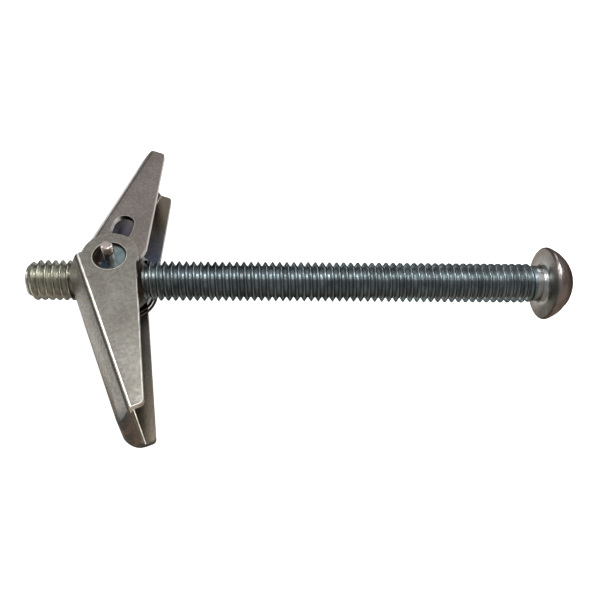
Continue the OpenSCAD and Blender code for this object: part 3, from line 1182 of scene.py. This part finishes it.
@dataclass
class TorsionSpring:
    """The round wire spring: a coil wound out from the nut's lower hub, and a leg in each wing.

    The coil is two halves that meet in the screw's upright middle plane.
    """

    place: float = HINGE_MM
    hub_r: float = 3.15
    wire_d: float = 0.55
    gap: float = 0.04
    last_r: float = 6.1
    top: float = -4.57
    low: float = -5.285
    drop: float = 0.35  # the share of the coil that it drops over
    front_lean: float = FRONT_LEAN
    rear_lean: float = REAR_LEAN
    leg_length: float = 12.0
    leg_edge_mm: float = 0.05
    front_press: float = -4.89
    rear_press: float = -5.84
    squeezed: tuple[float, float] = (0.77, 0.8)  # the front half's share and the rear one's
    sides: int = 14  # chords around the wire
    steps: int = 200  # chords along the coil

    @property
    def turn(self) -> float:
        """The whole turn of the coil in degrees."""
        return 720 + self.rear_lean + self.front_lean

    @property
    def first_r(self) -> float:
        """Mean radius of the coil where it starts, with its turns side by side."""
        return self.last_r - (self.wire_d + self.gap) * self.turn / 360

    @property
    def centre(self) -> Vector:
        """The coil's middle, off centre because the coil bears on the hub."""
        return Vector((self.place + self.first_r - self.wire_d / 2 - self.hub_r - self.gap, 0, 0))

    def coil_end(self, degrees: float, radius: float, z: float) -> Vector:
        """Gives the wire's middle on the coil at an angle, a radius and a height."""
        a = math.radians(degrees)
        return self.centre + Vector((radius * math.cos(a), radius * math.sin(a), z))

    def in_wing(self, u: float, v: float, lean: float, side: int, z: float) -> Vector:
        """Gives a place in a wing's own directions as a place in the frame.

        Args:
            u: Distance from the hinge axis along the wing.
            v: Distance towards the wing's open side.
            lean: The wing's lean in degrees.
            side: -1 for the front wing and 1 for the rear one.
            z: Height.

        Returns:
            The place in millimetres.
        """
        s, c = math.sin(math.radians(lean)), math.cos(math.radians(lean))
        return Vector((self.place + u * s + v * c, side * (u * c - v * s), z))

    def coil_half(
        self, bm: BMesh, material: Material, wing: Body, side: int
    ) -> Object:
        """Keeps one half of the coil and lets it ride on the nut.

        Args:
            bm: The whole coil. It is freed.
            material: The wire's finish.
            wing: The wing on that side.
            side: -1 for the front wing's half and 1 for the rear one's.

        Returns:
            The half.
        """
        edges = cut_through(bm, (0, 0, 0), (0, side, 0), dist=0.002, clear_inner=True)
        bmesh.ops.holes_fill(bm, edges=edges, sides=0)
        close_up(bm, 0.01)
        name = f"spring_coil_{wing.value}"
        half = finish_piece(bm, name, material, Body.NUT, ["torsion_spring"])
        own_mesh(half)
        return half

    def build_coil(self, material: Material) -> list[Object]:
        """Winds the coil: it drops below the crossing leg first, and stays level after that.

        Args:
            material: The wire's finish.

        Returns:
            The coil's two halves.
        """
        start = 180 - self.rear_lean
        bm = bmesh.new()
        ring = bmesh.ops.create_circle(
            bm, cap_ends=False, segments=self.sides, radius=self.wire_d / 2
        )["verts"]
        upright = Matrix.Rotation(math.radians(90), 4, "X")
        turned = Matrix.Rotation(math.radians(start), 4, "Z") @ upright
        spot = Matrix.Translation(self.coil_end(start, self.first_r, self.top))
        bmesh.ops.transform(bm, matrix=spot @ turned, verts=ring)
        geom = bm.verts[:] + bm.edges[:]
        bmesh.ops.edgeloop_fill(bm, edges=bm.edges[:])
        grow = (self.last_r - self.first_r) / self.steps
        heading = math.radians(start)
        for share, fall in ((self.drop, self.low - self.top), (1 - self.drop, 0.0)):
            steps = round(self.steps * share)
            outward = (grow * math.cos(heading), grow * math.sin(heading), fall / steps)
            spun = bmesh.ops.spin(
                bm,
                geom=geom,
                cent=self.centre,
                axis=(0, 0, 1),
                dvec=outward,
                angle=math.radians(self.turn * share),
                steps=steps,
                use_merge=False,
            )
            geom = [item for item in spun["geom_last"] if not isinstance(item, BMFace)]
            heading += math.radians(self.turn * share)
        bmesh.ops.edgeloop_fill(bm, edges=[item for item in geom if isinstance(item, BMEdge)])
        close_up(bm)
        sides = zip((Body.FRONT, Body.REAR), (-1, 1), self.squeezed)
        halves = [
            self.coil_half(bm.copy(), material, wing, side) for wing, side, keep in sides
        ]
        bm.free()
        return halves

    def build_leg(
        self, material: Material, name: str, body: Body, start: Vector, end: Vector
    ) -> Object:
        """Draws a straight leg from the coil's end to where it presses on its wing.

        Args:
            material: The wire's finish.
            name: The piece's name.
            body: The wing's body.
            start: Middle of the wire where it leaves the coil.
            end: Middle of the wire at the leg's end.

        Returns:
            The leg.
        """
        bm = bmesh.new()
        bmesh.ops.create_cone(
            bm,
            cap_ends=True,
            segments=self.sides,
            radius1=self.wire_d / 2,
            radius2=self.wire_d / 2,
            depth=(end - start).length,
        )
        turn = (end - start).to_track_quat("Z", "Y").to_matrix().to_4x4()
        middle = Matrix.Translation((start + end) / 2)
        bmesh.ops.transform(bm, matrix=middle @ turn, verts=bm.verts)
        nodes = ["torsion_spring"]
        return finish_piece(bm, name, material, body, nodes, self.leg_edge_mm)

    def build(self) -> list[Object]:
        """Builds the coil and both legs and dresses them.

        Returns:
            The coil's halves and the legs.
        """
        material = SPRING_WIRE.material()
        rear_end = self.in_wing(self.leg_length, self.rear_press, self.rear_lean, 1, self.top)
        front_end = self.in_wing(self.leg_length, self.front_press, self.front_lean, -1, self.low)
        rear_start = self.coil_end(180 - self.rear_lean, self.first_r, self.top)
        front_start = self.coil_end(180 + self.front_lean, self.last_r, self.low)
        return [
            *self.build_coil(material),
            self.build_leg(material, "spring_leg_rear", Body.REAR, rear_start, rear_end),
            self.build_leg(material, "spring_leg_front", Body.FRONT, front_start, front_end),
        ]


# ---- Studio ----


def flat(x0: float, x1: float, y0: float, y1: float, z: float = -11.0) -> list[Point]:
    """Gives the corners of a card that lies just above the floor."""
    return [(x0, y0, z), (x1, y0, z), (x1, y1, z), (x0, y1, z)]


def wall(
    start: tuple[float, float],
    end: tuple[float, float],
    top: float,
    foot: float = -10.9,
    lean: float = 0.0,
) -> list[Point]:
    """Gives the corners of a card that stands.

    Args:
        start: X and Y of its foot's first corner.
        end: X and Y of its foot's second corner.
        top: Height of its upper edge.
        foot: Height of its lower edge.
        lean: How far its upper edge is moved along Y.

    Returns:
        The four corners in millimetres.
    """
    (x0, y0), (x1, y1) = start, end
    return [(x0, y0, foot), (x1, y1, foot), (x1, y1 + lean, top), (x0, y0 + lean, top)]


# what the metal reflects: each card's name, corners and colour
CARDS = (
    ("front_card", wall((-500, -75), (600, -75), 400, lean=-55), "#949290"),
    ("near_floor_card", flat(-6, 500, -5, -76), "#9C9288"),
    ("under_head_card", flat(60, 111, -5, 48), "#F4F2F0"),
    ("right_floor_card", flat(112, 500, -5, 320), "#8A8684"),
    ("left_card", wall((-200, -200), (-200, 300), 115), "#6C6A68"),
    ("left_floor_card", flat(-200, -42, -76, 300), "#908E8C"),
    ("tip_floor_card", flat(-42, -6, -76, 300), WHITE),
    ("right_card", wall((500, -200), (500, 330), 200), "#787472"),
    ("back_floor_card", flat(-6, 112, 48, 330), "#585858"),
    ("back_low_card", wall((-500, 330), (500, 330), 190), "#707070"),
    ("back_high_card", wall((-500, 330), (500, 330), 430, foot=190, lean=-80), "#BEBEBE"),
)
# each lamp's name, place and width in millimetres, and power in watts
LAMPS = (
    ("overhead_softbox", (50, 95, 430), 140, 0.27),
    ("overhead_key", (50, 60, 430), 50, 0.16),
    ("front_softbox", (40, -60, 430), 100, 0.12),
    ("left_strip", (-294, 123, 303), 150, 0.235),
    ("back_strip", (215, 318, 170), 240, 0.28),
    ("right_strip", (400, 100, 240), 180, 0.50),
)


@dataclass
class Studio:
    """A pale floor, plain soft light, cards for the reflections, and the camera."""

    floor_z: float = -11.12
    floor_size: float = 1500.0
    floor_x: float = 40.0
    seen_glow: float = 0.72  # the floor's glow where the camera sees it
    mirrored_glow: float = 0.06  # and where the metal reflects it
    world_light: float = 0.6
    seen_world: float = 0.4  # added where the camera sees the world
    mirrored_world: float = 0.25  # and where the metal reflects it
    lens: float = 39.86
    sensor: float = 36.0
    shift: tuple[float, float] = (0.0325, 0.0443)
    place: Point = (43.76, -77.20, 107.04)
    forward: Point = (0.03973, 0.52843, -0.84805)
    upward: Point = (-0.00404, 0.84880, 0.52871)
    middle: Point = (45, 0, 0)  # where the lamps look

    def build_camera(self) -> Object:
        """Sets up the camera.

        Returns:
            The camera.
        """
        data = bpy.data.cameras.new("camera")
        data.lens = self.lens
        data.sensor_width = self.sensor
        data.sensor_fit = "HORIZONTAL"
        data.shift_x, data.shift_y = self.shift
        data.clip_start = 1 * MM
        camera = bpy.data.objects.new("camera", data)
        back = -Vector(self.forward).normalized()
        up = Vector(self.upward).normalized()
        turn = Matrix((up.cross(back), up, back)).transposed().to_4x4()
        camera.matrix_world = Matrix.Translation(Vector(self.place) * MM) @ turn
        bpy.context.scene.collection.objects.link(camera)
        bpy.context.scene.camera = camera
        return camera

    def rays(self, tree: NodeTree) -> tuple[NodeSocket, NodeSocket]:
        """Tells what a ray of light is for.

        Args:
            tree: The node tree that asks.

        Returns:
            A socket that is 1 if the camera sees the place, and one that is 1 in reflections.
        """
        path = add_node(tree, Kind.LIGHT_PATH).node.outputs
        bent = {0: path["Is Glossy Ray"], 1: path["Is Transmission Ray"]}
        return path["Is Camera Ray"], add_node(tree, Kind.MATH, bent, operation="MAXIMUM")

    def build_world(self) -> None:
        """Sets a white world for the camera and for reflections, and a softer one as light."""
        world = bpy.data.worlds.new("studio")
        bpy.context.scene.world = world
        world.use_nodes = True
        tree = world.node_tree
        background = tree.nodes["Background"]
        background.inputs["Color"].default_value = srgb(WHITE)
        seen, mirrored = self.rays(tree)
        links = {0: mirrored, 1: self.mirrored_world, 2: self.world_light}
        softer = add_node(tree, Kind.MATH, links, operation="MULTIPLY_ADD")
        links = {0: seen, 1: self.seen_world, 2: softer}
        strength = add_node(tree, Kind.MATH, links, operation="MULTIPLY_ADD")
        tree.links.new(strength, background.inputs["Strength"])

    def build_floor(self) -> Object:
        """Lays the pale floor under the object.

        Returns:
            The floor, which isn't part of the object.
        """
        material = bpy.data.materials.new("matt_white_card")
        material.use_nodes = True
        tree = material.node_tree
        shader = tree.nodes["Principled BSDF"].inputs
        shader["Base Color"].default_value = srgb("#F2F2F2")
        shader["Roughness"].default_value = 1.0
        shader["Emission Color"].default_value = srgb(WHITE)
        seen, mirrored = self.rays(tree)
        links = {0: mirrored, 1: self.mirrored_glow}
        faint = add_node(tree, Kind.MATH, links, operation="MULTIPLY")
        links = {0: seen, 1: self.seen_glow, 2: faint}
        glow = add_node(tree, Kind.MATH, links, operation="MULTIPLY_ADD")
        tree.links.new(glow, shader["Emission Strength"])
        bm = bmesh.new()
        bmesh.ops.create_grid(bm, x_segments=1, y_segments=1, size=self.floor_size)
        bmesh.ops.translate(bm, vec=(self.floor_x, 0, self.floor_z), verts=bm.verts)
        floor = make_object(bm, "floor", material)
        return floor

    def build_card(self, name: str, corners: Sequence[Point], colour: str) -> Object:
        """Hangs a glowing card that only reflections show.

        Args:
            name: The card's name.
            corners: Its four corners in millimetres.
            colour: The colour that it glows in.

        Returns:
            The card, which isn't part of the object.
        """
        material = bpy.data.materials.new(name)
        material.use_nodes = True
        tree = material.node_tree
        tree.nodes.remove(tree.nodes["Principled BSDF"])
        glow = add_node(tree, Kind.EMISSION, {"Color": colour, "Strength": 1.0})
        tree.links.new(glow, tree.nodes["Material Output"].inputs["Surface"])
        bm = bmesh.new()
        bm.faces.new([bm.verts.new(corner) for corner in corners])
        card = make_object(bm, name, material)
        card.visible_camera = False
        card.visible_diffuse = False
        card.visible_shadow = False
        return card

    def build_lamp(self, name: str, place: Point, size: float, power: float) -> Object:
        """Hangs a soft lamp that looks at the object's middle.

        Args:
            name: The lamp's name.
            place: Its place in millimetres.
            size: Its width in millimetres.
            power: Its power in watts.

        Returns:
            The lamp.
        """
        data = bpy.data.lights.new(name, "AREA")
        data.shape = "DISK"
        data.size = size * MM
        data.energy = power
        lamp = bpy.data.objects.new(name, data)
        towards = Vector(self.middle) - Vector(place)
        turn = towards.to_track_quat("-Z", "Y").to_matrix().to_4x4()
        lamp.matrix_world = Matrix.Translation(Vector(place) * MM) @ turn
        bpy.context.scene.collection.objects.link(lamp)
        return lamp

    def build(self) -> None:
        """Builds the floor, the cards, the light and the camera."""
        self.build_camera()
        self.build_world()
        self.build_floor()
        for card in CARDS:
            self.build_card(*card)
        for lamp in LAMPS:
            self.build_lamp(*lamp)


def main() -> None:
    """Builds the studio and every sub-assembly, and reports each piece."""
    logging.basicConfig(level=logging.INFO, format="%(name)s: %(message)s")
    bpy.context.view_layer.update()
    bpy.context.scene.view_settings.view_transform = "Standard"
    Studio().build()
    MachineScrew().build()
    Wing("front_wing", Body.FRONT, FRONT_LEAN, -1, True).build(FRONT_SHEET.material())
    Wing("rear_wing", Body.REAR, REAR_LEAN, 1, False).build(REAR_SHEET.material())
    TrunnionNut().build(NUT_METAL.material())
    TorsionSpring().build()
    bpy.context.view_layer.update()


if __name__ == "__main__":
    main()
